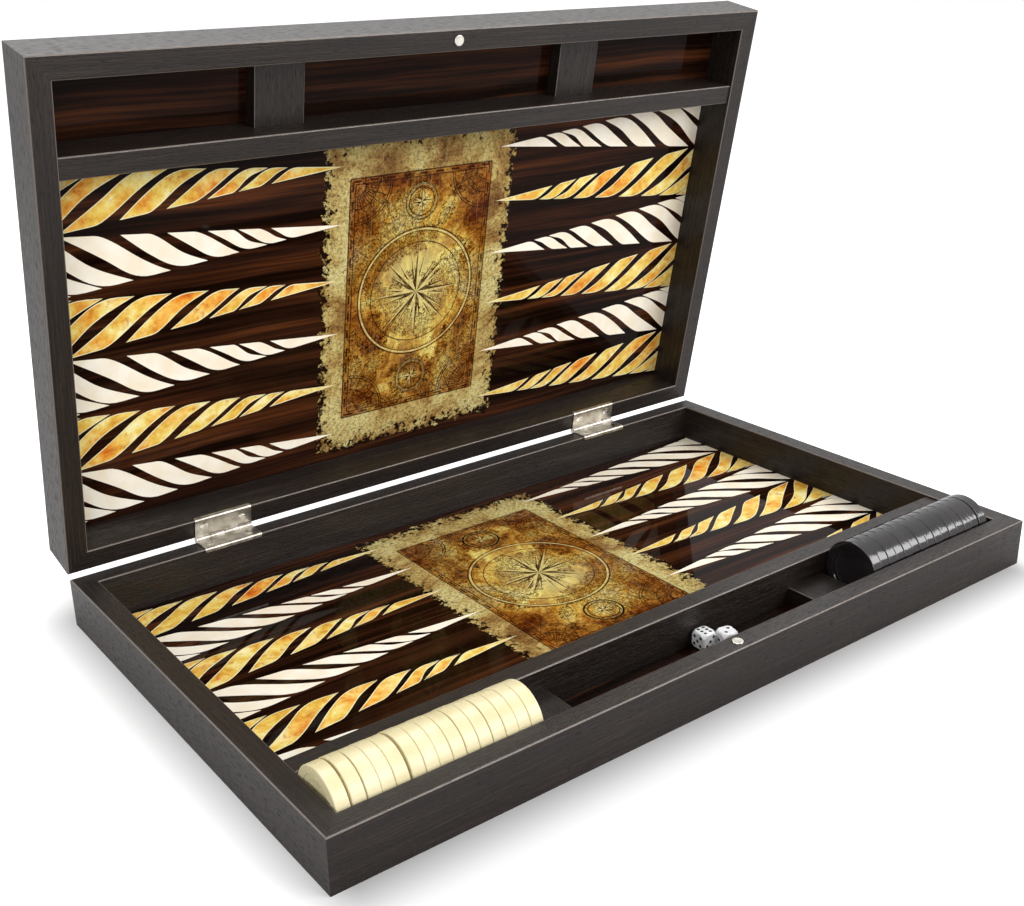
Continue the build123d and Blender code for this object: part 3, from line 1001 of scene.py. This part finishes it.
def makeChart(half):
    shape = bmesh.new()
    tornSheet(shape)
    ink = bmesh.new()
    for inset, width in ((0.0, 0.9), (chart["frameInset"], 0.7)):
        inkFrame(ink, inset, width)
    borderTicks(ink)
    rhumbLines(ink)
    compassRose(ink, chartMiddle, chart["roseRadius"], 16)
    for side in (-1, 1):
        middle = chartMiddle + Vector((0, side * chart["smallRoseShift"] * mm, 0))
        compassRose(ink, middle, chart["smallRoseRadius"], 8)
    x = (chart["frameHalfWidth"] - chart["frameInset"]) * mm
    front = (chart["frameFront"] + chart["frameInset"]) * mm
    back = (chart["frameBack"] - chart["frameInset"]) * mm
    for sideX in (-1, 1):
        for sideY, y in ((1, front), (-1, back)):
            cornerFan(ink, Vector((sideX * x, y, 0)), -sideX, sideY)
    for face in ink.faces:
        face.material_index = max(face.material_index, 1)
    bmesh.ops.recalc_face_normals(ink, faces=ink.faces)
    for face in ink.faces:
        face.normal_update()
    bmesh.ops.reverse_faces(ink, faces=[face for face in ink.faces if face.normal.z < 0])
    addShape(shape, ink)
    place = halfPlaces[half] @ Matrix.Translation((0, 0, panelTop))
    bmesh.ops.transform(shape, matrix=place, verts=shape.verts)
    dark = sepiaInk(half, "sepiaInk_", parchment["darkInk"], 0.35)
    pale = sepiaInk(half, "paleInk_", parchment["paleInk"], 0.8)
    piece = newPiece(half + "Chart", shape, half, parchmentPrint(half), dark, pale)


# Pips: a thin skin of black paint in the dice's drilled hollows
pips = {
    "radius": 1.15,
    "rise": 0.55,  # pip's centre above the face
    "pitch": 2.8,
    "paint": 0.03,  # mm thick
    "places": {
        1: [(0, 0)],
        2: [(-0.6, -0.6), (0.6, 0.6)],
        3: [(-0.85, -0.85), (0, 0), (0.85, 0.85)],
        4: [(-0.85, -0.85), (-0.85, 0.85), (0.85, -0.85), (0.85, 0.85)],
        5: [(-0.85, -0.85), (-0.85, 0.85), (0, 0), (0.85, -0.85), (0.85, 0.85)],
        6: [(-0.7, -1), (-0.7, 0), (-0.7, 1), (0.7, -1), (0.7, 0), (0.7, 1)],
    },
    "turns": {
        "top": (0, "X"),
        "bottom": (180, "X"),
        "left": (-90, "Y"),
        "right": (90, "Y"),
        "front": (90, "X"),
        "back": (-90, "X"),
    },
    "left_die": (0.0, {"top": 6, "bottom": 1, "left": 5, "right": 2, "front": 3, "back": 4}),
    "right_die": (-13.0, {"top": 2, "bottom": 5, "left": 1, "right": 6, "front": 4, "back": 3}),
}


def makePips(die):
    dieTurn, numbers = pips[die]
    low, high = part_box(die)
    middle = (low + high) / 2
    size = high.z - low.z
    shape = bmesh.new()
    for side, number in numbers.items():
        degrees, axis = pips["turns"][side]
        turn = Matrix.Translation(middle) @ Matrix.Rotation(math.radians(dieTurn), 4, "Z")
        turn = turn @ Matrix.Rotation(math.radians(degrees), 4, axis)
        for u, v in pips["places"][number]:
            pip = Vector((u * pips["pitch"] * mm, v * pips["pitch"] * mm, size / 2 + pips["rise"] * mm))
            bowl = bmesh.new()
            bmesh.ops.create_uvsphere(
                bowl, u_segments=20, v_segments=16, radius=(pips["radius"] - pips["paint"]) * mm
            )
            everything = bowl.verts[:] + bowl.edges[:] + bowl.faces[:]
            cut = (0, 0, -pips["rise"] * mm)
            bmesh.ops.bisect_plane(bowl, geom=everything, plane_co=cut, plane_no=(0, 0, 1), clear_outer=True)
            bmesh.ops.reverse_faces(bowl, faces=bowl.faces)
            bmesh.ops.transform(bowl, matrix=turn @ Matrix.Translation(pip), verts=bowl.verts)
            addShape(shape, bowl)
    piece = newPiece(die.replace("_die", "DiePips"), shape, die, pipBlack, smooth=True)


print("charts and pips")
for half in ("base", "lid"):
    makeChart(half)
for die in ("left_die", "right_die"):
    makePips(die)

print("points")
ivory = lacquerPrint("ivoryPrint", inlay["ivory"])
amber = amberPrint()
outlineBlack = lacquerPrint("outlineBlack", inlay["outline"])
amberRim = lacquerPrint("amberRim", inlay["rim"])
for half in ("base", "lid"):
    layPoints(half, "ivory", (ivory, ivory, outlineBlack))
    layPoints(half, "amber", (amber, amberRim, outlineBlack))

# Floor, light and camera
studio = {
    "azimuth": -36.943,
    "elevation": 21.55,
    "distance": 1.015698,
    "target": (0.117377, 0.206428, 0.0),
    "roll": -0.931,
    "focalPixels": 1295.735,
    "photoWidth": 1024,
    "sensor": 36.0,
    "clip": (0.05, 20),
    "floorReach": 6.0,
    "aim": (0, 0.05, 0.08),  # where the lamps point
    "worldLight": 0.42,
    "worldInGloss": 1.0,  # share of the white backdrop that reflections show
    "floorInGloss": 0.5,
    "floorColour": "b1b0b0",
    "floorGlowAndPaintedShade": (0.02, 1.0),  # dim beside the case, as painted shade, and full away from it
    "glowReach": (0.0, 0.074),  # metres from the case
    "sideGlow": 1.5,  # times as near beside the case as in front of it
    "sideStart": 0.0126,  # metres inside the case's ends
    "lamps": {  # place, size and watts
        "keyLamp": ((1.3, -1.7, 1.3), (1.8, 1.2), 50),
        "backLamp": ((0.45, 0.75, 1.5), (1.5, 1.0), 18),
        "topLamp": ((-0.6, -0.3, 1.3), (1.0, 0.8), 6),
        "leftLamp": ((-1.3, 0.7, 0.35), (1.0, 0.5), 4),
        "fillLamp": ((-1.4, -1.6, 0.5), (1.4, 0.8), 14),
    },
}


def makeCamera():
    azimuth, elevation = math.radians(studio["azimuth"]), math.radians(studio["elevation"])
    level = math.cos(elevation)
    back = Vector((math.sin(azimuth) * level, -math.cos(azimuth) * level, math.sin(elevation)))
    right = (-back).cross(Vector((0, 0, 1))).normalized()
    up = right.cross(-back)
    turn = Matrix((right, up, back)).transposed() @ Matrix.Rotation(math.radians(studio["roll"]), 3, "Z")
    data = bpy.data.cameras.new("camera")
    data.sensor_width = studio["sensor"]
    data.lens = data.sensor_width * studio["focalPixels"] / studio["photoWidth"]
    data.clip_start, data.clip_end = studio["clip"]
    camera = bpy.data.objects.new("camera", data)
    bpy.context.scene.collection.objects.link(camera)
    spot = Vector(studio["target"]) + back * studio["distance"]
    camera.matrix_world = Matrix.Translation(spot) @ turn.to_4x4()
    bpy.context.scene.camera = camera


def seenByEye(tree, glossShare):  # how white the surroundings are: fully to the camera, not as light
    path = addNode(tree, "LightPath")
    gloss = addNode(
        tree, "Math", {"operation": "MULTIPLY", 1: glossShare}, {0: path.outputs["Is Glossy Ray"]}
    )
    seen = addNode(
        tree, "Math", {"operation": "ADD"}, {0: path.outputs["Is Camera Ray"], 1: gloss.outputs[0]}
    )
    return addNode(
        tree,
        "Math",
        {"operation": "ADD", "use_clamp": True},
        {0: seen.outputs[0], 1: path.outputs["Is Transmission Ray"]},
    )


def makeFloor():
    shape = bmesh.new()
    bmesh.ops.create_grid(shape, x_segments=1, y_segments=1, size=studio["floorReach"])
    mesh = bpy.data.meshes.new("floor")
    shape.to_mesh(mesh)
    shape.free()
    floor = bpy.data.objects.new("floor", mesh)
    bpy.context.scene.collection.objects.link(floor)
    # pale paper that keeps the case's own shadow, with its glow dimmed close to the case as painted shade
    # that greys the floor there, and white to the eye further out
    material, tree = newMaterial("floorPaperWithPaintedShade")
    paper = addNode(tree, "BsdfDiffuse", {"Color": linearColour(studio["floorColour"])})
    spot = addNode(tree, "TexCoord")
    away = addNode(tree, "VectorMath", {"operation": "ABSOLUTE"}, {0: spot.outputs["Object"]})
    away = addNode(
        tree,
        "VectorMath",
        {"operation": "SUBTRACT", 1: (cadBox[1][0] - studio["sideStart"], -cadBox[0][1], 0)},
        {0: away.outputs[0]},
    )
    away = addNode(tree, "VectorMath", {"operation": "MAXIMUM"}, {0: away.outputs[0]})
    away = addNode(
        tree, "VectorMath", {"operation": "MULTIPLY", 1: (studio["sideGlow"], 1, 1)}, {0: away.outputs[0]}
    )
    away = addNode(tree, "VectorMath", {"operation": "LENGTH"}, {0: away.outputs[0]})
    near, far = studio["glowReach"]
    dim, full = studio["floorGlowAndPaintedShade"]
    # painted shade: the glow fades out towards the case
    glowWithPaintedShade = addNode(
        tree,
        "MapRange",
        {"From Min": near, "From Max": far, "To Min": dim, "To Max": full},
        {"Value": away.outputs["Value"]},
    )
    glow = addNode(tree, "Emission", {"Color": (1, 1, 1, 1)}, {"Strength": glowWithPaintedShade.outputs[0]})
    lifted = addNode(tree, "AddShader", None, {0: paper.outputs[0], 1: glow.outputs[0]})
    eye = seenByEye(tree, studio["floorInGloss"])
    mixed = addNode(tree, "MixShader", None, {0: eye.outputs[0], 1: paper.outputs[0], 2: lifted.outputs[0]})
    addNode(tree, "OutputMaterial", None, {"Surface": mixed.outputs[0]})
    floor.data.materials.append(material)


def makeWorld():
    world = bpy.data.worlds.new("studio")
    bpy.context.scene.world = world
    world.use_nodes = True
    tree = world.node_tree
    tree.nodes.clear()
    light = addNode(tree, "Background", {"Color": (1, 1, 1, 1), "Strength": studio["worldLight"]})
    white = addNode(tree, "Background", {"Color": (1, 1, 1, 1), "Strength": 1.0})
    eye = seenByEye(tree, studio["worldInGloss"])
    mixed = addNode(tree, "MixShader", None, {0: eye.outputs[0], 1: light.outputs[0], 2: white.outputs[0]})
    addNode(tree, "OutputWorld", None, {"Surface": mixed.outputs[0]})


def softbox(name, place, aim, size, watts):
    data = bpy.data.lights.new(name, "AREA")
    data.shape = "RECTANGLE"
    data.size, data.size_y = size
    data.energy = watts
    lamp = bpy.data.objects.new(name, data)
    bpy.context.scene.collection.objects.link(lamp)
    lamp.location = place
    lamp.rotation_euler = (Vector(aim) - Vector(place)).to_track_quat("-Z", "Y").to_euler()


print("studio")
makeCamera()
makeFloor()
makeWorld()
for name, (place, size, watts) in studio["lamps"].items():
    softbox(name, place, studio["aim"], size, watts)
bpy.context.scene.view_settings.view_transform = "Standard"
